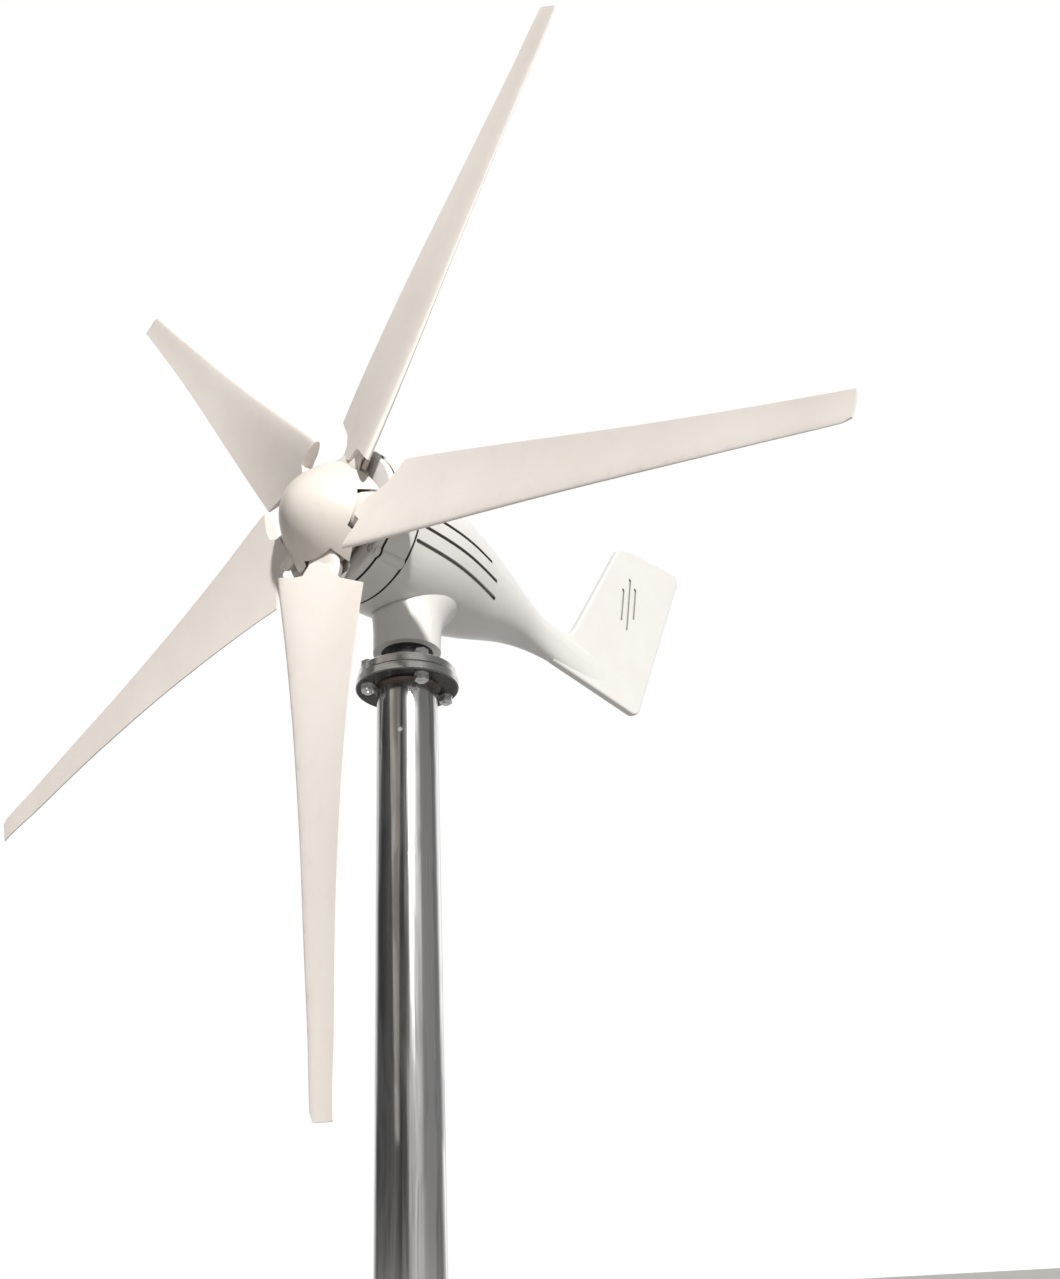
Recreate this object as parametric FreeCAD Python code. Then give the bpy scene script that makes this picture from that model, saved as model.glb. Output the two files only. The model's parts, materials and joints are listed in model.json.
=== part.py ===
"""Small five-blade horizontal-axis wind turbine on the top length of its mast.

Row frame, millimetres: +Z up the mast, origin at the centre of the mast's foot, nose towards -Y and
tail towards +Y.  Everything above the yaw bearing is drawn in the hub frame first, whose origin is the
rotor centre and whose +Y runs back along the generator shaft, and is then carried to its place.
"""

import FreeCAD
import Part
import math
import os

V = FreeCAD.Vector
ORIGIN = V(0, 0, 0)
ALONG_X = V(1, 0, 0)
ALONG_Y = V(0, 1, 0)
ALONG_Z = V(0, 0, 1)

# ---------------------------------------------------------------- driving dimensions
ROTOR_RADIUS = 600.0
BLADE_COUNT = 5
BLADE_STEP = 360.0 / BLADE_COUNT
FIRST_BLADE = 55.0          # degrees from +X towards +Z, seen from the front
HUB_HEIGHT = 920.0          # rotor axis above the mast's foot
YAW_SETBACK = 127.0         # yaw axis behind the blade plane

MAST_RADIUS = 31.75         # 63.5 mm stainless tube
MAST_WALL = 2.0
MAST_FLANGE_RADIUS = 54.0
MAST_FLANGE_THICK = 9.5
YAW_FLANGE_RADIUS = 51.5
YAW_FLANGE_THICK = 10.0
FLANGE_GASKET_THICK = 0.5
NECK_BOTTOM = -121.0        # below the rotor axis
FLANGE_TOP = -144.0         # top of the yaw flange, below the rotor axis

FRONT_SEAM = 33.0           # joint faces along the generator axis
REAR_SEAM = 67.0
SEAM_HALF = 1.5
DRUM_RADIUS = 80.0
COVER_FACE = 24.0
HUB_FACE = 12.0             # blades seat on this face of the hub plate
HUB_PLATE_THICK = 6.0
HUB_PLATE_RADIUS = 61.3

RUN = 0.05                  # radial clearance of every running fit

# ---------------------------------------------------------------- small helpers


def cyl_y(radius, y0, y1, x=0.0, z=0.0):
    """Cylinder along the generator axis."""
    return Part.makeCylinder(radius, y1 - y0, V(x, y0, z), ALONG_Y)


def ring_y(r_out, r_in, y0, y1):
    return cyl_y(r_out, y0, y1).cut(cyl_y(r_in, y0 - 1, y1 + 1))


def cyl_z(radius, z0, z1, x=0.0, y=0.0):
    """Cylinder up the yaw axis."""
    return Part.makeCylinder(radius, z1 - z0, V(x, y, z0), ALONG_Z)


def ring_z(r_out, r_in, z0, z1):
    return cyl_z(r_out, z0, z1).cut(cyl_z(r_in, z0 - 1, z1 + 1))


def box(x0, x1, y0, y1, z0, z1):
    return Part.makeBox(x1 - x0, y1 - y0, z1 - z0, V(x0, y0, z0))


def turned_y(points):
    """Solid of revolution about the generator axis from (radius, y) corners."""
    wire = Part.makePolygon([V(r, y, 0) for r, y in points + points[:1]])
    return Part.Face(wire).revolve(ORIGIN, ALONG_Y, 360)


def turned_z(points):
    """Solid of revolution about the yaw axis from (radius, z) corners."""
    wire = Part.makePolygon([V(r, 0, z) for r, z in points + points[:1]])
    return Part.Face(wire).revolve(ORIGIN, ALONG_Z, 360)


def hexagon_y(across_flats, y0, y1):
    """Hexagonal prism along the generator axis."""
    corner = across_flats / math.sqrt(3)
    turns = [math.radians(60 * i) for i in range(7)]
    wire = Part.makePolygon([V(corner * math.cos(a), y0, corner * math.sin(a)) for a in turns])
    return Part.Face(wire).extrude(V(0, y1 - y0, 0))


def hexagon_z(across_flats, z0, z1):
    prism = hexagon_y(across_flats, z0, z1)
    prism.rotate(ORIGIN, ALONG_X, 90)
    return prism


def moved(shape, x=0.0, y=0.0, z=0.0):
    copy = shape.copy()
    copy.translate(V(x, y, z))
    return copy


def about_y(shape, angle):
    """Copy turned from +X towards +Z, the way blade angles are counted."""
    copy = shape.copy()
    copy.rotate(ORIGIN, ALONG_Y, -angle)
    return copy


def about_z(shape, angle):
    copy = shape.copy()
    copy.rotate(ORIGIN, ALONG_Z, angle)
    return copy


def mix(stations, at):
    """Straight-line value between (position, value) stations."""
    for (p0, v0), (p1, v1) in zip(stations, stations[1:]):
        if at <= p1:
            return v0 + (v1 - v0) * (at - p0) / (p1 - p0)
    return stations[-1][1]


def closed_spline(points):
    curve = Part.BSplineCurve()
    curve.interpolate(points, PeriodicFlag=True)
    return Part.Wire([curve.toShape()])


def rounded_outline(corners):
    """Closed wire in the plane x = 0 through (y, z, radius) corners, each rounded with its radius."""
    edges = []
    joints = []
    count = len(corners)
    for i, (y, z, radius) in enumerate(corners):
        here = V(0, y, z)
        back = V(0, *corners[i - 1][:2]).sub(here).normalize()
        ahead = V(0, *corners[(i + 1) % count][:2]).sub(here).normalize()
        half = back.getAngle(ahead) / 2
        run = radius / math.tan(half)
        middle = back.add(ahead).normalize()
        top = here.add(middle.multiply(radius / math.sin(half) - radius))
        joints.append((here.add(back.multiply(run)), top, here.add(ahead.multiply(run))))
    for i, (start, top, end) in enumerate(joints):
        edges.append(Part.Arc(start, top, end).toShape())
        edges.append(Part.makeLine(end, joints[(i + 1) % count][0]))
    return Part.Wire(edges)


def to_hub(shape):
    """From the hub frame to the row frame."""
    return moved(shape, 0, -YAW_SETBACK, HUB_HEIGHT)


def to_yaw(shape):
    """From the yaw axis, with heights counted from the rotor axis, to the row frame."""
    return moved(shape, 0, 0, HUB_HEIGHT)


def blade_angles():
    return [FIRST_BLADE - BLADE_STEP * i for i in range(BLADE_COUNT)]


def bearing(r_in, r_out, width):
    """Deep-groove ball bearing centred on the origin, axis along Y: outer ring, inner ring, balls."""
    pitch = (r_in + r_out) / 2
    ball = (r_out - r_in) * 0.28
    wall = (r_out - r_in) * 0.28
    groove = Part.makeTorus(pitch, ball + RUN, ORIGIN, ALONG_Y)
    outer = ring_y(r_out, r_out - wall, -width / 2, width / 2).cut(groove)
    inner = ring_y(r_in + wall, r_in, -width / 2, width / 2).cut(groove)
    count = int(2 * math.pi * pitch / (2.9 * ball))
    balls = [about_y(Part.makeSphere(ball, V(pitch, 0, 0)), 360.0 * i / count) for i in range(count)]
    return outer, inner, balls


# ---------------------------------------------------------------- blades

CHORD = [(50, 108), (78, 106), (90, 103), (120, 96), (180, 82.5), (240, 70.5), (300, 60),
         (360, 51), (420, 43.6), (480, 37.4), (540, 31.8), (600, 26.3)]
PITCH = [(50, 15), (78, 13.5), (90, 12.6), (120, 10.5), (180, 6.8), (240, 3.9), (300, 1.8),
         (360, 0.6), (420, 0.2), (600, 1.6)]
SWEEP = [(50, 0), (78, 0), (120, 0.5), (240, 2), (300, 2.6), (420, 3.9), (480, 5.1), (540, 6.6), (600, 8.4)]
LEAN = [(50, 4.5), (78, 3.6), (120, 2.8), (180, 2.2), (240, 1.9), (300, 1.9), (420, 3.0), (600, 6.0)]
FATNESS = [(50, 0.125), (120, 0.12), (300, 0.105), (600, 0.1)]
BLADE_STATIONS = [46, 80, 120, 180, 240, 300, 360, 420, 480, 540, 604]
TRAILING_EDGE = 1.6
CAMBER = 0.035
NECK_OFFSET = -2.0          # the root neck's middle, towards the leading edge
NECK_HALF = 18.5
NECK_CREST = 0.0
PAD = 3.0                   # flat the blade bolts bear on
BOLT_PLACES = [(33.0, 0.0), (42.0, -9.0), (42.0, 9.0)]   # radius, offset from the neck's middle


def blade_section(radius):
    """Closed wire of the aerofoil at a radius: nose towards -Z, hollow side towards -Y."""
    chord = mix(CHORD, radius)
    pitch = math.radians(mix(PITCH, radius))
    fat = mix(FATNESS, radius)

    def place(x, n):
        t = (x - 0.5) * chord
        across = t * math.cos(pitch) - n * math.sin(pitch)
        along = t * math.sin(pitch) + n * math.cos(pitch)
        return V(radius, along + mix(LEAN, radius), across + mix(SWEEP, radius))

    def half_thickness(x):
        shape = 0.2969 * math.sqrt(x) - 0.126 * x - 0.3516 * x ** 2 + 0.2843 * x ** 3 - 0.1036 * x ** 4
        return 5 * fat * chord * shape + TRAILING_EDGE / 2 * x

    count = 12
    points = []
    for i in range(-count, count + 1):
        x = 0.5 - 0.5 * math.cos(math.pi * i / count)
        side = 1 if i < 0 else -1
        bow = 4 * CAMBER * chord * x * (1 - x)
        points.append(place(x, bow + side * half_thickness(x)))
    skin = Part.BSplineCurve()
    skin.interpolate(points)
    return Part.Wire([skin.toShape(), Part.makeLine(points[-1], points[0])])


def planform():
    """Thick plate of the blade's outline seen from the front: slanted root, clipped round tip."""
    tip = ROTOR_RADIUS
    root = [(60.5, -60), (71, -30), (72, -20), (60, -12), (60, 8), (76, 13), (87, 23), (106, 58)]
    end = [(480, 60), (tip - 0.6, 26), (tip, 17), (tip - 1.5, -2), (tip - 12, -7), (480, -60)]
    wire = Part.makePolygon([V(r, -40, t) for r, t in root + end + root[:1]])
    return Part.Face(wire).extrude(V(0, 80, 0))


def neck_section(radius, half_width, crest, back, pitch=0.0):
    """Rounded closed wire across the root neck, sheared to the blade's pitch in degrees."""
    slope = math.tan(math.radians(pitch))
    middle = (crest + back) / 2
    half_depth = (back - crest) / 2
    points = []
    flat = 0.72
    for i in range(24):
        a = 2 * math.pi * i / 24
        c, s = math.cos(a), math.sin(a)
        across = half_width * math.copysign(abs(c) ** flat, c)
        along = middle + half_depth * math.copysign(abs(s) ** flat, s)
        points.append(V(radius, along + slope * across, NECK_OFFSET + across))
    return closed_spline(points)


def blade():
    """One blade along +X, with its bolted neck."""
    skin = Part.makeLoft([blade_section(r) for r in BLADE_STATIONS], True, False)
    body = skin.common(planform())
    neck = Part.makeLoft([neck_section(27, NECK_HALF - 8, NECK_CREST + 1, 13.5),
                          neck_section(38, NECK_HALF - 2, NECK_CREST, 14),
                          neck_section(50, NECK_HALF, NECK_CREST, 14),
                          neck_section(63, NECK_HALF + 1, NECK_CREST + 1.4, 13, 9),
                          neck_section(76, NECK_HALF - 1, NECK_CREST + 4.4, 11, 13.5),
                          neck_section(94, 10, 6, 8.6, 12)], True, False)
    body = body.fuse(neck.cut(box(20, 49.5, -30, PAD, -60, 60)))
    body = body.cut(cyl_y(LOBE_REACH + 0.8, HUB_FACE, 60))
    for radius, offset in BOLT_PLACES:
        body = body.cut(cyl_y(2.7, -30, 30, radius, NECK_OFFSET + offset))
    return body.removeSplitter()


def at_blade_bolts(piece):
    """The piece, drawn on the Y axis, at every blade bolt of every blade."""
    copies = []
    for angle in blade_angles():
        for radius, offset in BOLT_PLACES:
            copies.append(about_y(moved(piece, radius, 0, NECK_OFFSET + offset), angle))
    return copies


# ---------------------------------------------------------------- rotor

SPINNER_NOSE = -42.0
SPINNER_RIM = 20.0
SPINNER_FULLNESS = 77.0     # radius squared over depth behind the nose
SPINNER_WALL = 4.0
SHAFT_THREAD = 7.0
HUB_SEAT = 8.0
SPINNER_SCREW_CIRCLE = 48.0
LOBE_REACH = 84.0           # the hub plate's arm under each neck
LOBE_HALF = 16.5


def dome(nose, rim):
    """Solid paraboloid about the generator axis."""
    r = math.sqrt(SPINNER_FULLNESS * (rim - nose))
    curve = Part.BezierCurve()
    curve.setPoles([V(0, nose, 0), V(r / 2, nose, 0), V(r, rim, 0)])
    lines = Part.makePolygon([V(r, rim, 0), V(0, rim, 0), V(0, nose, 0)])
    return Part.Face(Part.Wire([curve.toShape()] + lines.Edges)).revolve(ORIGIN, ALONG_Y, 360)


def rim_cutter():
    """What the spinner's rim loses at one blade: the neck's notch, then a long slant behind the blade."""
    corners = [(-22.5, -1), (17.5, -1), (24, 19), (24, 40), (-60, 40), (-60, 22), (-25, 4)]
    wire = Part.makePolygon([V(38, y, t) for t, y in corners + corners[:1]])
    return Part.Face(wire).extrude(V(62, 0, 0))


def gap_angles():
    return [angle + BLADE_STEP / 2 for angle in blade_angles()]


def spinner():
    shell = dome(SPINNER_NOSE, SPINNER_RIM).cut(dome(SPINNER_NOSE + SPINNER_WALL, SPINNER_RIM + 1))
    for angle in blade_angles():
        shell = shell.cut(about_y(rim_cutter(), angle))
    boss = cyl_y(5.0, -30, HUB_FACE, SPINNER_SCREW_CIRCLE).common(dome(SPINNER_NOSE + 1, HUB_FACE + 1))
    boss = boss.cut(cyl_y(2.5, -2, 30, SPINNER_SCREW_CIRCLE))
    for angle in gap_angles():
        shell = shell.fuse(about_y(boss, angle))
    return shell.removeSplitter()


def hub_plate():
    back = HUB_FACE + HUB_PLATE_THICK
    plate = cyl_y(HUB_PLATE_RADIUS, HUB_FACE, back)
    tip = LOBE_REACH - LOBE_HALF
    lobe = box(0, tip, HUB_FACE, back, -LOBE_HALF, LOBE_HALF).fuse(cyl_y(LOBE_HALF, HUB_FACE, back, tip))
    for angle in blade_angles():
        plate = plate.fuse(about_y(moved(lobe, 0, 0, NECK_OFFSET), angle))
    plate = plate.fuse(cyl_y(17, HUB_FACE, 26)).removeSplitter()
    plate = plate.cut(cyl_y(HUB_SEAT, 0, 30)).cut(box(-2, 2, 0, 30, 0, HUB_SEAT + 1.6))
    for hole in at_blade_bolts(cyl_y(2.7, 0, 40)):
        plate = plate.cut(hole)
    for angle in gap_angles():
        plate = plate.cut(about_y(cyl_y(2.7, 0, 40, SPINNER_SCREW_CIRCLE), angle))
    return plate


def spinner_screws():
    back = HUB_FACE + HUB_PLATE_THICK
    screw = cyl_y(2.5, -1, back, SPINNER_SCREW_CIRCLE).fuse(cyl_y(4.6, back, back + 3, SPINNER_SCREW_CIRCLE))
    screw = screw.cut(moved(hexagon_y(3, back + 1.2, back + 4), SPINNER_SCREW_CIRCLE))
    return [about_y(screw.removeSplitter(), angle) for angle in gap_angles()]


def blade_bolts():
    under = PAD - 1.0
    bolt = cyl_y(2.5, under, HUB_FACE + HUB_PLATE_THICK + 6.4).fuse(hexagon_y(8, under - 3.5, under))
    return at_blade_bolts(bolt.removeSplitter())


def blade_washers():
    back = HUB_FACE + HUB_PLATE_THICK
    return at_blade_bolts(ring_y(5.0, 2.7, PAD - 1, PAD)) + at_blade_bolts(ring_y(5.0, 2.7, back, back + 1))


def blade_nuts():
    back = HUB_FACE + HUB_PLATE_THICK + 1
    return at_blade_bolts(hexagon_y(8, back, back + 4).cut(cyl_y(2.5, back - 1, back + 6)))


def main_shaft():
    shaft = turned_y([(0, -3), (SHAFT_THREAD - 1, -3), (SHAFT_THREAD, -2), (SHAFT_THREAD, HUB_FACE),
                      (HUB_SEAT, HUB_FACE), (HUB_SEAT, 26), (10, 26), (10, 26.8), (8.5, 26.8), (8.5, 43),
                      (11, 43), (11, 85), (7.5, 85), (7.5, 97), (0, 97)])
    return shaft.cut(box(-2, 2, 12, 25, HUB_SEAT - 3, HUB_SEAT + 3))


def shaft_key():
    return box(-2, 2, 12, 25, HUB_SEAT - 3, HUB_SEAT + 1.6)


def shaft_nut():
    nut = hexagon_y(22, 1, 10.4).common(turned_y([(0, 1), (11.2, 1), (13, 2.6), (13, 10.4), (0, 10.4)]))
    return nut.cut(cyl_y(SHAFT_THREAD, 0, 12))


MAGNET_COUNT = 12
STACK_FRONT = 48.0
STACK_BACK = 84.0


def magnets():
    arc = ring_y(41.5, 36.5, STACK_FRONT, STACK_BACK).common(box(0, 60, 0, 120, -8.6, 8.6))
    return [about_y(arc, 360.0 * i / MAGNET_COUNT) for i in range(MAGNET_COUNT)]


def rotor_core():
    core = ring_y(36.5, 11, 46, STACK_BACK)
    for i in range(6):
        core = core.cut(about_y(cyl_y(6, 40, 90, 24), 60 * i))
    return core


# ---------------------------------------------------------------- generator housing

SCREW_CIRCLE = 74.0
SCREW_ANGLES = [-48, 48, 132, 228]
RIB_CENTRE = 75.6
RIB_RADIUS = 7.2
SLEEVE_OUT = 68.4
SLEEVE_IN = 66.0
SLEEVE_BACK = 92.0
TEETH = 12


def at_screws(piece):
    return [about_y(piece, angle) for angle in SCREW_ANGLES]


def front_cover():
    rear = FRONT_SEAM - SEAM_HALF
    edge = DRUM_RADIUS
    face = COVER_FACE
    body = turned_y([(9.5, 27.6), (53, 27.6), (57, face), (edge - 2.4, face), (edge - 0.8, face + 0.7),
                     (edge, face + 2.4), (edge, rear), (SLEEVE_OUT, rear), (60, 31),
                     (27, 31), (25, 43.2), (20, 43.2), (20, 31), (13, 31), (13, 28.2), (9.5, 28.2)])
    ear = cyl_y(RIB_RADIUS, face + 1.6, rear, RIB_CENTRE)
    for piece in at_screws(ear):
        body = body.fuse(piece)
    for hole in at_screws(cyl_y(2.7, 20, 50, SCREW_CIRCLE).fuse(cyl_y(4.5, 20, 28.4, SCREW_CIRCLE))):
        body = body.cut(hole)
    return body.removeSplitter()


def generator_drum():
    front = FRONT_SEAM + SEAM_HALF
    back = REAR_SEAM - SEAM_HALF
    body = turned_y([(SLEEVE_IN, front), (DRUM_RADIUS, front), (DRUM_RADIUS, back), (SLEEVE_OUT, back),
                     (SLEEVE_OUT, SLEEVE_BACK), (SLEEVE_IN, SLEEVE_BACK)])
    for piece in at_screws(cyl_y(RIB_RADIUS, front, back, RIB_CENTRE)):
        body = body.fuse(piece)
    for hole in at_screws(cyl_y(2.7, 30, 80, SCREW_CIRCLE)):
        body = body.cut(hole)
    return body.removeSplitter()


def seam_gasket(seam, r_out):
    ring = ring_y(r_out, SLEEVE_OUT + 0.2, seam - SEAM_HALF, seam + SEAM_HALF)
    for hole in at_screws(cyl_y(2.7, 30, 80, SCREW_CIRCLE)):
        ring = ring.cut(hole)
    return ring


def cover_screws():
    head = 24.4
    screw = cyl_y(4.25, head, 28.4, SCREW_CIRCLE).fuse(cyl_y(2.5, 28.4, 80, SCREW_CIRCLE)).removeSplitter()
    screw = screw.cut(moved(hexagon_y(4, head - 1, head + 2.2), SCREW_CIRCLE))
    return at_screws(screw)


def stator_core():
    core = ring_y(SLEEVE_IN, 54, STACK_FRONT, STACK_BACK)
    tooth = box(40, 55, STACK_FRONT, STACK_BACK, -5, 5)
    for i in range(TEETH):
        core = core.fuse(about_y(tooth, 360.0 * i / TEETH))
    return core.cut(cyl_y(42.3, 0, 120)).removeSplitter()


def stator_coils():
    around = box(44, 52.5, STACK_FRONT - 4, STACK_BACK + 4, -10, 10)
    coil = around.cut(box(30, 60, STACK_FRONT, STACK_BACK, -5, 5))
    return [about_y(coil, 360.0 * i / TEETH) for i in range(TEETH)]


def rear_bearing_plate():
    plate = turned_y([(9, 97), (23, 97), (25, 96), (SLEEVE_OUT, 96), (SLEEVE_OUT, SLEEVE_BACK),
                      (SLEEVE_IN, SLEEVE_BACK), (SLEEVE_IN, 89), (62, 89), (60, 92), (23, 92), (23, 85),
                      (17.5, 85), (17.5, 96), (9, 96)])
    for i in range(6):
        plate = plate.cut(about_y(cyl_y(8, 80, 100, 46), 60 * i + 30))
    return plate


def generator_leads():
    """Three leads from the winding, through the rear plate's holes, down to the brush holder."""
    leads = []
    for i, x in enumerate((-4.5, 0.0, 4.5)):
        start = V(x, STACK_BACK + 4, 47.0)
        corner = V(x, 159.0 - 3 * i, 47.0)
        end = V(x, 159.0 - 3 * i, BRUSH_TOP)
        bend = 12.0
        arc_in = corner.sub(V(0, bend, 0))
        arc_out = corner.sub(V(0, 0, bend))
        middle = corner.add(V(0, -bend * (1 - math.sqrt(0.5)), -bend * (1 - math.sqrt(0.5))))
        path = Part.Wire([Part.makeLine(start, arc_in), Part.Arc(arc_in, middle, arc_out).toShape(),
                          Part.makeLine(arc_out, end)])
        circle = Part.Wire([Part.makeCircle(1.6, start, ALONG_Y)])
        leads.append(path.makePipeShell([circle], True, False))
    return leads


# ---------------------------------------------------------------- nacelle shell

# distance behind the rotor centre: half width, half height, height of the middle
BODY = [(REAR_SEAM + SEAM_HALF, 79.6, 79.6, 0), (95, 79, 79, 0), (127, 77, 77.3, -0.3),
        (160, 72, 73.2, -0.4), (190, 64.5, 68, -1.2), (225, 54.5, 60.5, -2), (260, 44.5, 49.5, -3.5),
        (300, 32.5, 36, -7), (340, 21.5, 27.5, -12), (380, 14, 26, -15.5), (420, 9.8, 26, -19),
        (460, 7, 25, -23), (500, 4.2, 23, -28)]
SHELL_WALL = 5.0
HOLLOW_END = 8              # the casting is hollow up to this body station
# height below the rotor axis: half width, front, back of the neck's outside
NECK = [(NECK_BOTTOM, 36, 91, 163), (-107, 36, 91, 163.3), (-96, 36.2, 90.8, 164.6), (-86, 37, 90, 168),
        (-76, 39, 88.5, 175), (-66, 42.5, 86, 186), (-54, 47, 83, 198)]
GROOVES = [(-35.0, 219.0), (-18.0, 214.0), (-1.0, 200.0)]     # height and rear end of each side groove
GROOVE_FRONT = 71.0
GROOVE_WIDTH = 3.8
GROOVE_DEPTH = 3.4
FIN_HALF = 5.2
# outline from the boom round the fin: distance behind the rotor centre, height, corner radius
FIN = [(372, -36, 4), (380, -42, 6), (556, -64, 20), (708, 213.5, 11), (552, 199, 38), (419, 6, 60),
       (392, 0, 6)]
EMBLEM_DEPTH = 2.0
EMBLEM_REACH = 10.0         # how far the engraving cutters stand out of the fin
EMBLEM_LEAN = 14.0
SEAT_RADIUS = 27.5          # yaw bearings, 30 x 55 x 13
YAW_LOWER = (-118.0, -105.0)
YAW_UPPER = (-92.0, -79.0)


def body_section(y, half_width, half_height, middle, inset=0.0):
    """Oval closed wire across the nacelle's body."""
    points = []
    for i in range(24):
        a = 2 * math.pi * i / 24
        points.append(V((half_width - inset) * math.cos(a), y, middle + (half_height - inset) * math.sin(a)))
    return closed_spline(points)


def neck_ring(z, half_width, front, back):
    """Oval closed wire round the nacelle's neck at a height."""
    points = []
    for i in range(24):
        a = 2 * math.pi * i / 24
        points.append(V(half_width * math.cos(a), (front + back) / 2 + (back - front) / 2 * math.sin(a), z))
    return closed_spline(points)


def fin():
    """Swept tail fin as a flat plate with rounded edges."""
    plate = moved(Part.Face(rounded_outline(FIN)).extrude(V(2 * FIN_HALF, 0, 0)), -FIN_HALF)
    rims = [e for e in plate.Edges if abs(abs(e.CenterOfMass.x) - FIN_HALF) < 0.01]
    return plate.makeFillet(3.2, rims)


def emblem():
    """Plain mark of three slanted strokes, engraved on both sides of the fin."""
    cuts = []
    floors = (FIN_HALF - EMBLEM_DEPTH, -FIN_HALF - EMBLEM_REACH + EMBLEM_DEPTH)
    for x in floors:
        for i, length in enumerate((56, 92, 56)):
            stroke = round_ended_bar(length)
            stroke.rotate(ORIGIN, ALONG_X, -EMBLEM_LEAN)
            stroke.translate(V(x, 543 + 15 * i, 102 + 6 * i))
            cuts.append(stroke)
    return cuts


def round_ended_bar(length):
    """Upright bar with round ends, flat in the plane x = 0 and thickened towards +X."""
    half = 2.8
    run = length / 2 - half
    arcs = [Part.Arc(V(0, half, run), V(0, 0, run + half), V(0, -half, run)).toShape(),
            Part.makeLine(V(0, -half, run), V(0, -half, -run)),
            Part.Arc(V(0, -half, -run), V(0, 0, -run - half), V(0, half, -run)).toShape(),
            Part.makeLine(V(0, half, -run), V(0, half, run))]
    return Part.Face(Part.Wire(arcs)).extrude(V(EMBLEM_REACH, 0, 0))


def side_grooves():
    """Prisms of the three grooves on the +X side, from inside the wall outwards."""
    half = GROOVE_WIDTH / 2
    prisms = []
    front = GROOVE_FRONT
    for z, back in GROOVES:
        edges = [Part.makeLine(V(25, front, z + half), V(25, back, z + half)),
                 Part.Arc(V(25, back, z + half), V(25, back + half, z), V(25, back, z - half)).toShape(),
                 Part.makeLine(V(25, back, z - half), V(25, front, z - half)),
                 Part.Arc(V(25, front, z - half), V(25, front - half, z), V(25, front, z + half)).toShape()]
        prisms.append(Part.Face(Part.Wire(edges)).extrude(V(75, 0, 0)))
    return prisms


BRUSH_FRONT = 150.0
BRUSH_BACK = 168.0
BRUSH_BOTTOM = -62.0
BRUSH_TOP = -22.0


def inner_loft(inset):
    """The body's hollow shape at a depth under its skin, run out through the open front."""
    stations = [(60, 79.8, 79.8, 0)] + BODY[1:HOLLOW_END]
    return Part.makeLoft([body_section(*s, inset=inset) for s in stations], True, False)


def nacelle_shell():
    yaw = YAW_SETBACK
    front = REAR_SEAM + SEAM_HALF
    body = Part.makeLoft([body_section(*s) for s in BODY], True, False)
    neck = Part.makeLoft([neck_ring(*s) for s in NECK], True, False)
    shell = body.fuse(neck).fuse(fin()).cut(inner_loft(SHELL_WALL))
    lug = cyl_y(7.0, front, 86, SCREW_CIRCLE).fuse(box(SCREW_CIRCLE, 79, front, 86, -5, 5))
    for piece in at_screws(lug):
        shell = shell.fuse(piece.common(body))
    shell = shell.fuse(box(-12, 12, BRUSH_FRONT - 2, BRUSH_BACK + 2, -71, BRUSH_BOTTOM))
    shell = shell.cut(cyl_y(SLEEVE_OUT + 0.4, 60, 98))
    for hole in at_screws(cyl_y(2.5, 60, 80.5, SCREW_CIRCLE)):
        shell = shell.cut(hole)
    shell = shell.cut(cyl_z(SEAT_RADIUS, NECK_BOTTOM - 1, YAW_LOWER[1], 0, yaw))
    shell = shell.cut(cyl_z(22.5, NECK_BOTTOM - 1, -60, 0, yaw))
    shell = shell.cut(cyl_z(SEAT_RADIUS, YAW_UPPER[0], -60, 0, yaw))
    groove_floor = inner_loft(GROOVE_DEPTH)
    for prism in side_grooves():
        groove = prism.cut(groove_floor)
        shell = shell.cut(groove).cut(groove.mirror(ORIGIN, ALONG_X))
    for x in (-7, 7):
        shell = shell.cut(cyl_z(1.6, -72, BRUSH_BOTTOM + 1, x, BRUSH_BACK - 4))
    for stroke in emblem():
        shell = shell.cut(stroke)
    return shell


# ---------------------------------------------------------------- yaw head and mast

BOLT_CIRCLE = 43.0
FLANGE_BOLTS = 4
YAW_SHAFT = 15.0
CABLE_WAY = 7.0
RING_PITCH = 13.0
RING_LOW = -60.0


def at_flange_bolts(piece):
    return [about_z(moved(piece, BOLT_CIRCLE), 64 + 360.0 * i / FLANGE_BOLTS) for i in range(FLANGE_BOLTS)]


FLANGE_BOTTOM = FLANGE_TOP - YAW_FLANGE_THICK
MAST_FLANGE_TOP = FLANGE_BOTTOM - FLANGE_GASKET_THICK
MAST_FLANGE_BOTTOM = MAST_FLANGE_TOP - MAST_FLANGE_THICK
MAST_TOP = HUB_HEIGHT + MAST_FLANGE_BOTTOM


def flange_disc(radius, z0, z1, bore):
    """Disc with chamfered rims and the bolt holes."""
    c = 1.2
    disc = turned_z([(bore, z0), (radius - c, z0), (radius, z0 + c), (radius, z1 - c), (radius - c, z1),
                     (bore, z1)])
    for hole in at_flange_bolts(cyl_z(4.5, z0 - 1, z1 + 1)):
        disc = disc.cut(hole)
    return disc


def yaw_flange():
    disc = flange_disc(YAW_FLANGE_RADIUS, FLANGE_BOTTOM, FLANGE_TOP, YAW_SHAFT)
    boss = turned_z([(YAW_SHAFT, FLANGE_TOP - 1), (29, FLANGE_TOP - 1), (29, FLANGE_TOP + 5),
                     (26, FLANGE_TOP + 8), (YAW_SHAFT, FLANGE_TOP + 8)])
    return disc.fuse(boss).removeSplitter()


def yaw_shaft():
    shoulder = 18.0
    return turned_z([(CABLE_WAY, FLANGE_BOTTOM), (YAW_SHAFT, FLANGE_BOTTOM), (YAW_SHAFT, FLANGE_TOP + 8),
                     (shoulder, FLANGE_TOP + 8), (shoulder, YAW_LOWER[0]), (YAW_SHAFT, YAW_LOWER[0]),
                     (YAW_SHAFT, -70), (10, -70), (10, -52), (CABLE_WAY, -52)])


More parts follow.
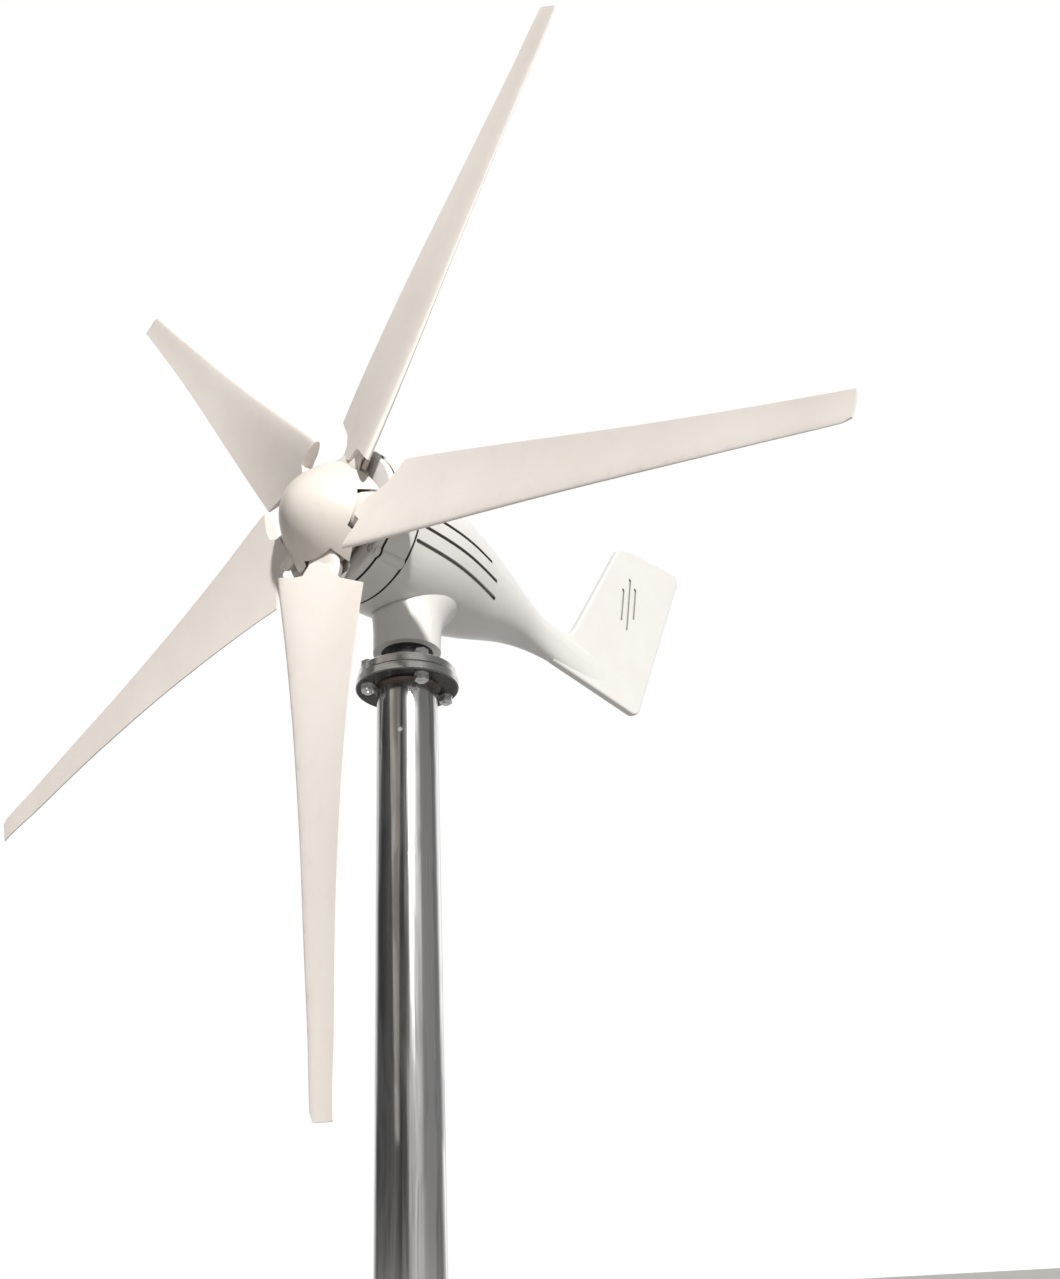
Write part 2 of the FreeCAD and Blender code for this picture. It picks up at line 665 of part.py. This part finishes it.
def yaw_bearing_parts():
    outers, inners, balls = [], [], []
    for low, high in (YAW_LOWER, YAW_UPPER):
        outer, inner, set_of_balls = bearing(YAW_SHAFT, SEAT_RADIUS, high - low)
        for group, pieces in ((outers, [outer]), (inners, [inner]), (balls, set_of_balls)):
            for piece in pieces:
                upright = piece.copy()
                upright.rotate(ORIGIN, ALONG_X, 90)
                group.append(moved(upright, 0, 0, (low + high) / 2))
    return outers, inners, balls


def slip_rings():
    return [ring_z(19.5, 16.5, RING_LOW + RING_PITCH * i, RING_LOW + RING_PITCH * i + 8) for i in range(3)]


def slip_ring_core():
    return turned_z([(10, -68), (16.5, -68), (16.5, -24), (CABLE_WAY, -24), (CABLE_WAY, -52), (10, -52)])


def brush_channels(y0, y1, half):
    """One square prism per brush, on the yaw axis frame."""
    middle = [RING_LOW + RING_PITCH * i + 4 for i in range(3)]
    return [box(-half, half, y0, y1, z - half, z + half) for z in middle]


def brushes():
    reach = cyl_z(19.5 + RUN, -80, 0)
    return [piece.cut(reach) for piece in brush_channels(17, 31, 2.9)]


def brush_holder():
    front = BRUSH_FRONT - YAW_SETBACK
    back = BRUSH_BACK - YAW_SETBACK
    holder = box(-10, 10, front, back, BRUSH_BOTTOM, BRUSH_TOP)
    for channel in brush_channels(front - 1, back - 2, 3.0):
        holder = holder.cut(channel)
    for x in (-7, 7):
        holder = holder.cut(cyl_z(1.6, -70, -10, x, back - 4))
    return holder


def brush_springs():
    """A small coil spring behind each brush."""
    springs = []
    for channel in range(3):
        z = RING_LOW + RING_PITCH * channel + 4
        wire = Part.makeHelix(1.6, 7.2, 2.2)
        section = Part.Wire([Part.makeCircle(0.35, V(2.2, 0, 0), ALONG_Y)])
        coil = Part.Wire(wire.Edges).makePipeShell([section], True, True)
        coil.rotate(ORIGIN, ALONG_X, -90)
        springs.append(moved(coil, 0, 31.4, z))
    return springs


def brush_screws():
    back = BRUSH_BACK - YAW_SETBACK
    screw = cyl_z(1.6, -71, BRUSH_TOP, 0, 0).fuse(cyl_z(2.8, BRUSH_TOP, BRUSH_TOP + 2)).removeSplitter()
    return [moved(screw, x, back - 4, 0) for x in (-7, 7)]


def flange_bolts():
    under = FLANGE_TOP + 1.5
    length_end = MAST_FLANGE_BOTTOM - 10
    bolt = cyl_z(4.0, length_end, under).fuse(hexagon_z(13, under, under + 5.3))
    return at_flange_bolts(bolt.removeSplitter())


def hexagon_nut(across, bore, z0, z1):
    chamfer = turned_z([(0, z0), (across * 0.52, z0), (across * 0.6, z0 + 1), (across * 0.6, z1 - 1),
                        (across * 0.52, z1), (0, z1)])
    return hexagon_z(across, z0, z1).common(chamfer).cut(cyl_z(bore, z0 - 1, z1 + 1))


def flange_nuts():
    top = MAST_FLANGE_BOTTOM - 1.5
    return at_flange_bolts(hexagon_nut(13, 4.0, top - 6.5, top))


def flange_washers():
    above = ring_z(7.8, 4.5, FLANGE_TOP, FLANGE_TOP + 1.5)
    below = ring_z(7.4, 4.5, MAST_FLANGE_BOTTOM - 1.5, MAST_FLANGE_BOTTOM)
    return at_flange_bolts(above) + at_flange_bolts(below)


BEVEL = 5.0                 # weld preparation on the tube's top end


def mast_tube():
    inner = MAST_RADIUS - MAST_WALL
    return turned_z([(inner, 0), (MAST_RADIUS, 0), (MAST_RADIUS, MAST_TOP - BEVEL), (inner + 0.6, MAST_TOP),
                     (inner, MAST_TOP)])


def mast_weld():
    """Bead that fills the tube's bevel and the corner under the flange."""
    reach = MAST_RADIUS + 3.4
    return turned_z([(MAST_RADIUS, MAST_TOP - BEVEL), (MAST_RADIUS + 2.0, MAST_TOP - 2.6), (reach, MAST_TOP),
                     (MAST_RADIUS - MAST_WALL + 0.6, MAST_TOP)])


# ---------------------------------------------------------------- files


def save(name, pieces):
    """One STEP per node; a node may be a group of separate solids."""
    pieces = pieces if isinstance(pieces, list) else [pieces]
    solids = [solid for piece in pieces for solid in piece.Solids]
    for solid in solids:
        if not solid.isValid() or solid.Volume <= 0:
            print("CHECK", name, solid.isValid(), round(solid.Volume, 1))
    shape = solids[0] if len(solids) == 1 else Part.makeCompound(solids)
    shape.exportStep("parts/" + name + ".step")
    print(name, len(solids), round(sum(s.Volume for s in solids) / 1000, 2), "cm3")


def rotor_nodes():
    front = bearing(8.5, 20, 12)
    rear = bearing(7.5, 17.5, 11)
    front = [moved(front[0], 0, 37), moved(front[1], 0, 37), [moved(b, 0, 37) for b in front[2]]]
    rear = [moved(rear[0], 0, 90.5), moved(rear[1], 0, 90.5), [moved(b, 0, 90.5) for b in rear[2]]]
    one = blade()
    nodes = {
        "main_shaft": main_shaft(),
        "shaft_key": shaft_key(),
        "rotor_core": rotor_core(),
        "magnets": magnets(),
        "front_bearing_inner_ring": front[1],
        "rear_bearing_inner_ring": rear[1],
        "rotor_bearing_balls": front[2] + rear[2],
        "hub_plate": hub_plate(),
        "blade_bolts": blade_bolts(),
        "blade_washers": blade_washers(),
        "blade_nuts": blade_nuts(),
        "shaft_washer": ring_y(12.5, SHAFT_THREAD + 0.2, 10.4, 12),
        "shaft_nut": shaft_nut(),
        "spinner": spinner(),
        "spinner_screws": spinner_screws(),
        "front_bearing_outer_ring": front[0],
        "rear_bearing_outer_ring": rear[0],
    }
    for number, angle in enumerate(blade_angles(), 1):
        nodes["blade_%d" % number] = about_y(one, angle)
    return nodes


def generator_nodes():
    return {
        "nacelle_shell": nacelle_shell(),
        "generator_drum": generator_drum(),
        "front_cover": front_cover(),
        "front_seam_gasket": seam_gasket(FRONT_SEAM, DRUM_RADIUS - 1.5),
        "rear_seam_gasket": seam_gasket(REAR_SEAM, DRUM_RADIUS - 1.7),
        "cover_screws": cover_screws(),
        "stator_core": stator_core(),
        "stator_coils": stator_coils(),
        "rear_bearing_plate": rear_bearing_plate(),
        "shaft_seal": ring_y(13, 8.5 + RUN, 28.2, 31),
        "generator_leads": generator_leads(),
    }


def yaw_nodes():
    outers, inners, balls = yaw_bearing_parts()
    return {
        "yaw_bearing_outer_rings": outers,
        "yaw_bearing_inner_rings": inners,
        "yaw_bearing_balls": balls,
        "yaw_seal": ring_z(SEAT_RADIUS, 18 + RUN, NECK_BOTTOM, YAW_LOWER[0]),
        "brush_holder": brush_holder(),
        "brushes": brushes(),
        "brush_springs": brush_springs(),
        "brush_screws": brush_screws(),
        "yaw_flange": yaw_flange(),
        "yaw_shaft": yaw_shaft(),
        "yaw_spacer": ring_z(17.5, YAW_SHAFT, YAW_LOWER[1], YAW_UPPER[0]),
        "yaw_lock_nut": hexagon_z(34, YAW_UPPER[1], YAW_UPPER[1] + 8).cut(cyl_z(YAW_SHAFT, -90, -60)),
        "slip_ring_core": slip_ring_core(),
        "slip_rings": slip_rings(),
        "flange_gasket": flange_gasket(),
        "flange_bolts": flange_bolts(),
        "flange_nuts": flange_nuts(),
        "flange_washers": flange_washers(),
        "mast_flange": flange_disc(MAST_FLANGE_RADIUS, MAST_FLANGE_BOTTOM, MAST_FLANGE_TOP, 20),
    }


def flange_gasket():
    ring = ring_z(YAW_FLANGE_RADIUS - 1, 25, MAST_FLANGE_TOP, FLANGE_BOTTOM)
    for hole in at_flange_bolts(cyl_z(4.5, MAST_FLANGE_TOP - 1, FLANGE_BOTTOM + 1)):
        ring = ring.cut(hole)
    return ring


def main():
    os.makedirs("parts", exist_ok=True)
    for name, pieces in list(rotor_nodes().items()) + list(generator_nodes().items()):
        pieces = pieces if isinstance(pieces, list) else [pieces]
        save(name, [to_hub(piece) for piece in pieces])
    for name, pieces in yaw_nodes().items():
        pieces = pieces if isinstance(pieces, list) else [pieces]
        save(name, [to_yaw(piece) for piece in pieces])
    save("mast_tube", mast_tube())
    save("mast_weld", mast_weld())


main()
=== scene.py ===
import json
import math

import bpy
from mathutils import Matrix, Vector

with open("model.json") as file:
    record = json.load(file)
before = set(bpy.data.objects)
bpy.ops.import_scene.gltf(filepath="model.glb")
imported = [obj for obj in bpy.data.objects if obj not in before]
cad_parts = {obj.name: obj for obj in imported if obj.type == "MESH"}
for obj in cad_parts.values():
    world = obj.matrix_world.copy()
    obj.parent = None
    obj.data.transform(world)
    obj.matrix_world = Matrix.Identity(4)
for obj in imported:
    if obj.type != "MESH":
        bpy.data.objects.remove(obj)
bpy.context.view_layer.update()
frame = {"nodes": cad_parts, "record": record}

# ---------------------------------------------------------------- driving values

# Lengths are in metres, angles in degrees, except where a comment says otherwise.
CAMERA_PLACE = Vector((0.8413, -0.8588, 0.1902))
CAMERA_AZIMUTH = -38.13         # from +Y towards +X
CAMERA_PITCH = 27.34            # above the horizon
CAMERA_ROLL = -3.24
CAMERA_LENS = 35.43             # focal length in millimetres
CAMERA_SENSOR = 36.0            # in millimetres
CAMERA_CLIP = 0.01

SUN_FROM = Vector((0.755, -0.503, 0.423))
SUN_STRENGTH = 4.65
SUN_SPREAD = 2.5
SUN_COLOUR = (1.0, 0.975, 0.94)

# A glow is the cosine of the angle where it starts, the cosine where it is full, and its strength.
BACKDROP_GLOW = (0.52, 0.84, 0.94)
SIDE_GLOW = (0.0, 0.9, 0.14)
SOFTBOX_GLOW = (0.90, 0.95, 0.45)
SOFTBOX_FROM = Vector((0.888, -0.411, 0.208))
SIDE_FADE = (0.25, 0.65, 1.0, 0.2)      # from one height to another, the side glow drops to a share
WORLD_GREY = 0.075                      # strength of the world where no glow reaches

FLOOR_HALF = 45.0
FLOOR_COLOUR = (0.46, 0.456, 0.45)
FLOOR_SHADE = (0.43, 0.426, 0.42)

# Colour of the painted shade laid on the powder coat in narrow gaps, seams and corners.
RECESS_SHADE_COLOUR = (0.10, 0.095, 0.09)
RECESS_SHADE_REACH = 0.007             # how near another surface has to be for the painted shade to gather
# Colour of the painted shade on metal faces that look down.
UNDERSIDE_SHADE_COLOUR = (0.03, 0.028, 0.026)
STREAK = (0.50, 0.49, 0.49)
NICK = (0.92, 0.92, 0.90)

PLASTICS = {
    "blade_nylon": dict(colour=(0.80, 0.755, 0.715), shade=(0.76, 0.705, 0.66), rough=0.42),
    "spinner_nylon": dict(colour=(0.72, 0.672, 0.625), shade=(0.65, 0.60, 0.55), rough=0.36,
                          extra_dust=0.1),
}
COATED = dict(colour=(0.70, 0.688, 0.672), shade=(0.66, 0.647, 0.63))
# Dark and bright tones of the painted reflection bands on the polished tube.
TUBE = dict(dark=(0.46, 0.455, 0.45), bright=(0.92, 0.91, 0.90))
# underside_shade is the share of painted shade given to faces that look down.
METALS = {
    "hub_metal": dict(colour=(0.60, 0.54, 0.49), shade=(0.36, 0.30, 0.25), rough=0.42,
                      metallic=0.6, axis="Y", pitch=700.0, age=0.5),
    "machined_steel": dict(colour=(0.90, 0.89, 0.88), shade=(0.60, 0.58, 0.56), rough=0.25,
                           axis="Z", pitch=800.0, age=0.3, underside_shade=0.95),
    "weld_steel": dict(colour=(0.20, 0.165, 0.15), shade=(0.08, 0.06, 0.05), rough=0.35,
                       axis="Z", pitch=500.0, age=0.8, underside_shade=0.7),
    "shaft_steel": dict(colour=(0.63, 0.63, 0.63), shade=(0.40, 0.39, 0.38), rough=0.22,
                        axis="Z", pitch=1500.0, age=0.2),
    "bearing_steel": dict(colour=(0.70, 0.70, 0.71), shade=(0.50, 0.49, 0.48), rough=0.16,
                          axis="Y", pitch=1800.0, age=0.15),
    "zinc_fastener": dict(colour=(0.88, 0.88, 0.88), shade=(0.55, 0.53, 0.50), rough=0.34,
                          metallic=0.85, axis="Z", pitch=1300.0, age=0.25),
    "lamination_steel": dict(colour=(0.20, 0.20, 0.22), shade=(0.10, 0.09, 0.09), rough=0.5,
                             metallic=0.8, axis="Y", pitch=2600.0, age=0.4),
    "magnet": dict(colour=(0.60, 0.60, 0.62), shade=(0.42, 0.41, 0.40), rough=0.22,
                   axis="Y", pitch=300.0, age=0.2),
    "copper": dict(colour=(0.62, 0.26, 0.11), shade=(0.36, 0.13, 0.06), rough=0.3,
                   metallic=0.9, axis="Y", pitch=2200.0, age=0.4),
    "slip_brass": dict(colour=(0.72, 0.54, 0.24), shade=(0.42, 0.28, 0.12), rough=0.24,
                       axis="Z", pitch=1800.0, age=0.3),
    "cast_aluminium": dict(colour=(0.56, 0.55, 0.54), shade=(0.40, 0.39, 0.38), rough=0.5,
                           metallic=0.9, axis="Y", pitch=200.0, age=0.4),
}
DULL = {
    "black_rubber": dict(colour=(0.02, 0.02, 0.021), rough=0.6),
    "insulator": dict(colour=(0.045, 0.045, 0.05), rough=0.4),
    "carbon": dict(colour=(0.03, 0.03, 0.032), rough=0.5),
    "lead_sleeve": dict(colour=(0.42, 0.03, 0.025), rough=0.4),
}

# ---------------------------------------------------------------- node helpers

# The owner of a shader node is a material or the world.


def new_material(name):
    """Empty material with a principled shader on its surface."""
    mat = bpy.data.materials.new(name)
    mat.use_nodes = True
    mat.node_tree.nodes.clear()
    out = add(mat, "ShaderNodeOutputMaterial")
    shader = add(mat, "ShaderNodeBsdfPrincipled")
    link(mat, shader.outputs["BSDF"], out.inputs["Surface"])
    return mat, shader


def add(owner, kind, **settings):
    """New shader node with its settings."""
    node = owner.node_tree.nodes.new(kind)
    for key, value in settings.items():
        setattr(node, key, value)
    return node


def link(owner, source, target):
    owner.node_tree.links.new(source, target)


def object_coords(mat, scale=(1.0, 1.0, 1.0)):
    """Object coordinates in metres, stretched by a scale per axis."""
    coords = add(mat, "ShaderNodeTexCoord")
    mapping = add(mat, "ShaderNodeMapping")
    mapping.inputs["Scale"].default_value = scale
    link(mat, coords.outputs["Object"], mapping.inputs["Vector"])
    return mapping.outputs["Vector"]


def noise(mat, vector, scale, detail=4.0, roughness=0.55, distortion=0.0):
    """Noise value at a vector, with features about 1 / scale wide."""
    node = add(mat, "ShaderNodeTexNoise")
    node.inputs["Scale"].default_value = scale
    node.inputs["Detail"].default_value = detail
    node.inputs["Roughness"].default_value = roughness
    node.inputs["Distortion"].default_value = distortion
    link(mat, vector, node.inputs["Vector"])
    return node.outputs["Fac"]


def span(owner, value, low, high, to_low=0.0, to_high=1.0, interpolation="LINEAR"):
    """Value carried from one range to another, and held at the ends."""
    node = add(owner, "ShaderNodeMapRange", interpolation_type=interpolation)
    node.inputs["From Min"].default_value = low
    node.inputs["From Max"].default_value = high
    node.inputs["To Min"].default_value = to_low
    node.inputs["To Max"].default_value = to_high
    link(owner, value, node.inputs["Value"])
    return node.outputs["Result"]


def maths(owner, operation, a, b):
    """Result of an operation on two values, each a number or a socket."""
    node = add(owner, "ShaderNodeMath", operation=operation)
    for socket, value in zip(node.inputs, (a, b)):
        if isinstance(value, (int, float)):
            socket.default_value = value
        else:
            link(owner, value, socket)
    return node.outputs["Value"]


def blend(mat, factor, first, second):
    """Colour between two, each a colour or a socket."""
    node = add(mat, "ShaderNodeMix", data_type="RGBA")
    link(mat, factor, node.inputs["Factor"])
    for name, value in (("A", first), ("B", second)):
        socket = [s for s in node.inputs if s.name == name and s.type == "RGBA"][0]
        if isinstance(value, tuple):
            socket.default_value = (*value, 1.0)
        else:
            link(mat, value, socket)
    return [s for s in node.outputs if s.type == "RGBA"][0]


def bump(mat, shader, height, strength, distance):
    """Fine relief on a shader, from a height socket."""
    node = add(mat, "ShaderNodeBump")
    node.inputs["Strength"].default_value = strength
    node.inputs["Distance"].default_value = distance
    link(mat, height, node.inputs["Height"])
    link(mat, node.outputs["Normal"], shader.inputs["Normal"])


def darker(colour, share):
    return tuple(c * share for c in colour)


# ---------------------------------------------------------------- materials


def moulded_plastic(name, colour, shade, rough, extra_dust=0.0):
    """Glass-filled nylon: faint flow clouding, dusty patches, fine grain, a little light let in."""
    mat, shader = new_material(name)
    where = object_coords(mat)
    cloud = noise(mat, where, 9.0, detail=5.0, roughness=0.6, distortion=0.4)
    tone = blend(mat, span(mat, cloud, 0.35, 0.7), colour, shade)
    patches = noise(mat, object_coords(mat, (1.0, 1.0, 0.7)), 46.0, detail=6.0, roughness=0.7)
    dusty = span(mat, patches, 0.56, 0.78, 0.0, 0.35 + extra_dust)
    tone = blend(mat, dusty, tone, darker(shade, 0.86))
    link(mat, tone, shader.inputs["Base Color"])
    link(mat, span(mat, patches, 0.3, 0.7, rough - 0.05, rough + 0.1), shader.inputs["Roughness"])
    shader.inputs["Subsurface Weight"].default_value = 0.04
    shader.inputs["Subsurface Radius"].default_value = (0.006, 0.005, 0.004)
    shader.inputs["Subsurface Scale"].default_value = 0.5
    grain = noise(mat, where, 900.0, detail=3.0, roughness=0.6)
    sink = noise(mat, where, 22.0, detail=2.0, roughness=0.5)
    relief = maths(mat, "ADD", maths(mat, "MULTIPLY", grain, 0.25), sink)
    bump(mat, shader, relief, strength=0.12, distance=0.0015)
    return mat


def powder_coat(name, colour, shade):
    """Powder coat over a casting: orange peel, faint mottling, dark specks, painted shade in gaps and
    corners.
    """
    mat, shader = new_material(name)
    where = object_coords(mat)
    mottle = noise(mat, where, 14.0, detail=5.0, roughness=0.6, distortion=0.3)
    tone = blend(mat, span(mat, mottle, 0.36, 0.7), colour, shade)
    specks = noise(mat, where, 260.0, detail=2.0, roughness=0.5)
    tone = blend(mat, span(mat, specks, 0.68, 0.76, 0.0, 0.35), tone, darker(shade, 0.7))
    # Painted shade: the colour darkens towards the recess shade colour wherever another surface is near,
    # in gaps, seams, grooves and corners.
    recess_shade_ao = add(mat, "ShaderNodeAmbientOcclusion", samples=12)
    recess_shade_ao.inputs["Distance"].default_value = RECESS_SHADE_REACH
    tone = blend(mat, span(mat, recess_shade_ao.outputs["AO"], 0.35, 0.85, 1.0, 0.0), tone, RECESS_SHADE_COLOUR)
    link(mat, tone, shader.inputs["Base Color"])
    link(mat, span(mat, mottle, 0.3, 0.7, 0.32, 0.46), shader.inputs["Roughness"])
    shader.inputs["Coat Weight"].default_value = 0.15
    shader.inputs["Coat Roughness"].default_value = 0.25
    peel = noise(mat, where, 520.0, detail=3.0, roughness=0.5)
    bump(mat, shader, peel, strength=0.10, distance=0.0008)
    return mat


def polished_tube(name, dark, bright):
    """Polished stainless tube: dark and bright bands painted around it as reflections, fine streaks, dull
    pale nicks.
    """
    mat, shader = new_material(name)
    shader.inputs["Metallic"].default_value = 1.0
    # Painted reflection: bands of base colour that change with direction around the tube stand in for the
    # surroundings it reflects.
    outward = add(mat, "ShaderNodeVectorMath", operation="NORMALIZE")
    link(mat, object_coords(mat, (1.0, 1.0, 0.0)), outward.inputs[0])
    wander = noise(mat, object_coords(mat, (1.0, 1.0, 0.5)), 9.0, detail=3.0, roughness=0.5)
    around = add(mat, "ShaderNodeVectorMath", operation="ADD")
    link(mat, outward.outputs["Vector"], around.inputs[0])
    link(mat, wander, around.inputs[1])
    reflection_bands = noise(mat, around.outputs["Vector"], 2.3, detail=3.0, roughness=0.6)
    streaks = noise(mat, object_coords(mat, (1.0, 1.0, 0.012)), 420.0, detail=5.0, roughness=0.65)
    spots = add(mat, "ShaderNodeTexVoronoi")
    spots.inputs["Scale"].default_value = 14.0
    link(mat, object_coords(mat), spots.inputs["Vector"])
    nick = span(mat, spots.outputs["Distance"], 0.035, 0.075, 1.0, 0.0)
    tone = blend(mat, span(mat, reflection_bands, 0.42, 0.60), dark, bright)
    tone = blend(mat, span(mat, streaks, 0.35, 0.70, 0.0, 0.35), tone, STREAK)
    tone = blend(mat, nick, tone, NICK)
    link(mat, tone, shader.inputs["Base Color"])
    rough = span(mat, streaks, 0.3, 0.7, 0.10, 0.22)
    link(mat, maths(mat, "ADD", rough, maths(mat, "MULTIPLY", nick, 0.5)), shader.inputs["Roughness"])
    relief = maths(mat, "ADD", streaks, maths(mat, "MULTIPLY", nick, 2.0))
    bump(mat, shader, relief, strength=0.06, distance=0.0004)
    return mat


def turned_metal(name, colour, shade, rough, axis, pitch, age, metallic=1.0, underside_shade=0.0):
    """Lathe-turned metal: fine rings about an axis, blotches of age, painted shade on faces that look
    down.
    """
    mat, shader = new_material(name)
    shader.inputs["Metallic"].default_value = metallic
    stretch = tuple(1.0 if letter == axis else 0.02 for letter in "XYZ")
    rings = noise(mat, object_coords(mat, stretch), pitch, detail=3.0, roughness=0.6)
    blotch = noise(mat, object_coords(mat), 70.0, detail=5.0, roughness=0.65, distortion=0.5)
    tone = blend(mat, span(mat, rings, 0.35, 0.65), colour, darker(colour, 0.86))
    tone = blend(mat, span(mat, blotch, 0.5, 0.75, 0.0, age), tone, shade)
    if underside_shade:
        # Painted shade: faces whose normal points down are darkened towards the underside shade colour.
        face = add(mat, "ShaderNodeSeparateXYZ")
        link(mat, add(mat, "ShaderNodeNewGeometry").outputs["Normal"], face.inputs["Vector"])
        tone = blend(mat, span(mat, face.outputs["Z"], -0.8, -0.3, underside_shade, 0.0), tone, UNDERSIDE_SHADE_COLOUR)
    link(mat, tone, shader.inputs["Base Color"])
    link(mat, span(mat, blotch, 0.3, 0.75, rough - 0.06, rough + 0.16), shader.inputs["Roughness"])
    bump(mat, shader, maths(mat, "ADD", rings, blotch), strength=0.12, distance=0.0004)
    return mat


def dull_finish(name, colour, rough):
    """Rubber, carbon or sleeving: a plain colour with pale dust and a fine grain."""
    mat, shader = new_material(name)
    where = object_coords(mat)
    dust = noise(mat, where, 120.0, detail=5.0, roughness=0.7)
    dusty = tuple(c + 0.05 for c in colour)
    tone = blend(mat, span(mat, dust, 0.5, 0.8, 0.0, 0.5), colour, dusty)
    link(mat, tone, shader.inputs["Base Color"])
    link(mat, span(mat, dust, 0.3, 0.7, rough - 0.1, rough + 0.15), shader.inputs["Roughness"])
    bump(mat, shader, noise(mat, where, 800.0, detail=3.0), strength=0.15, distance=0.0005)
    return mat


def build_materials():
    """Every finish, under the name of its slot in the record."""
    materials = {
        "powder_coat": powder_coat("powder_coat", **COATED),
        "polished_stainless": polished_tube("polished_stainless", **TUBE),
    }
    for make, finishes in ((moulded_plastic, PLASTICS), (turned_metal, METALS), (dull_finish, DULL)):
        for name, settings in finishes.items():
            materials[name] = make(name, **settings)
    return materials


def dress_nodes(materials):
    """Every carried-over node takes the finish of its slot in the record."""
    slots = {entry["node"]: entry["material_slot"] for entry in frame["record"]["subparts"]}
    for node, obj in frame["nodes"].items():
        obj.data.materials.clear()
        obj.data.materials.append(materials[slots[node]])


# ---------------------------------------------------------------- studio


def camera_axes():
    """Right, up and forward of the camera."""
    azimuth, pitch, roll = (math.radians(a) for a in (CAMERA_AZIMUTH, CAMERA_PITCH, CAMERA_ROLL))
    level = Vector((math.cos(azimuth), -math.sin(azimuth), 0.0))
    forward = Vector((math.sin(azimuth) * math.cos(pitch),
                      math.cos(azimuth) * math.cos(pitch),
                      math.sin(pitch)))
    upward = level.cross(forward)
    right = level * math.cos(roll) + upward * math.sin(roll)
    up = upward * math.cos(roll) - level * math.sin(roll)
    return right, up, forward


def add_camera(right, up, forward):
    """Camera at the photograph's place and angle."""
    data = bpy.data.cameras.new("camera")
    data.sensor_width = CAMERA_SENSOR
    data.lens = CAMERA_LENS
    data.clip_start = CAMERA_CLIP
    camera = bpy.data.objects.new("camera", data)
    bpy.context.scene.collection.objects.link(camera)
    place = Matrix((right, up, -forward)).transposed().to_4x4()
    place.translation = CAMERA_PLACE
    camera.matrix_world = place
    bpy.context.scene.camera = camera


def glow(world, direction, towards, shape):
    """Brightness that rises from zero to a strength as a direction nears another."""
    start, full, strength = shape
    facing = add(world, "ShaderNodeVectorMath", operation="DOT_PRODUCT")
    facing.inputs[1].default_value = towards
    link(world, direction, facing.inputs[0])
    return span(world, facing.outputs["Value"], start, full, 0.0, strength, "SMOOTHSTEP")


def add_world(backdrop, side):
    """White backdrop one way, pale wall to a side, softbox near the sun, and dim grey elsewhere."""
    world = bpy.data.worlds.new("studio")
    world.use_nodes = True
    direction = add(world, "ShaderNodeTexCoord").outputs["Generated"]
    height = add(world, "ShaderNodeSeparateXYZ")
    link(world, direction, height.inputs["Vector"])
    fade = span(world, height.outputs["Z"], *SIDE_FADE, "SMOOTHSTEP")
    wall = maths(world, "MULTIPLY", glow(world, direction, side, SIDE_GLOW), fade)
    total = maths(world, "ADD", glow(world, direction, backdrop, BACKDROP_GLOW), wall)
    total = maths(world, "ADD", total, glow(world, direction, SOFTBOX_FROM, SOFTBOX_GLOW))
    total = maths(world, "ADD", total, WORLD_GREY)
    background = world.node_tree.nodes["Background"]
    background.inputs["Color"].default_value = (1.0, 1.0, 1.0, 1.0)
    link(world, total, background.inputs["Strength"])
    bpy.context.scene.world = world


def add_sun():
    """Key light: one sun."""
    data = bpy.data.lights.new("key", "SUN")
    data.energy = SUN_STRENGTH
    data.angle = math.radians(SUN_SPREAD)
    data.color = SUN_COLOUR
    lamp = bpy.data.objects.new("key", data)
    lamp.rotation_euler = SUN_FROM.to_track_quat("Z", "Y").to_euler()
    bpy.context.scene.collection.objects.link(lamp)


def add_floor():
    """Pale matt floor that reaches almost to the horizon."""
    mat, shader = new_material("floor")
    cloud = noise(mat, object_coords(mat), 1.4)
    tone = blend(mat, span(mat, cloud, 0.4, 0.7), FLOOR_COLOUR, FLOOR_SHADE)
    link(mat, tone, shader.inputs["Base Color"])
    shader.inputs["Roughness"].default_value = 0.85
    mesh = bpy.data.meshes.new("floor")
    corners = [(x * FLOOR_HALF, y * FLOOR_HALF, 0) for x, y in ((-1, -1), (1, -1), (1, 1), (-1, 1))]
    mesh.from_pydata(corners, [], [(0, 1, 2, 3)])
    mesh.materials.append(mat)
    floor = bpy.data.objects.new("floor", mesh)
    bpy.context.scene.collection.objects.link(floor)


dress_nodes(build_materials())
sideways, upwards, ahead = camera_axes()
add_camera(sideways, upwards, ahead)
add_world(ahead, sideways)
add_sun()
add_floor()
bpy.context.scene.view_settings.view_transform = "Standard"
bpy.context.scene.view_settings.look = "None"
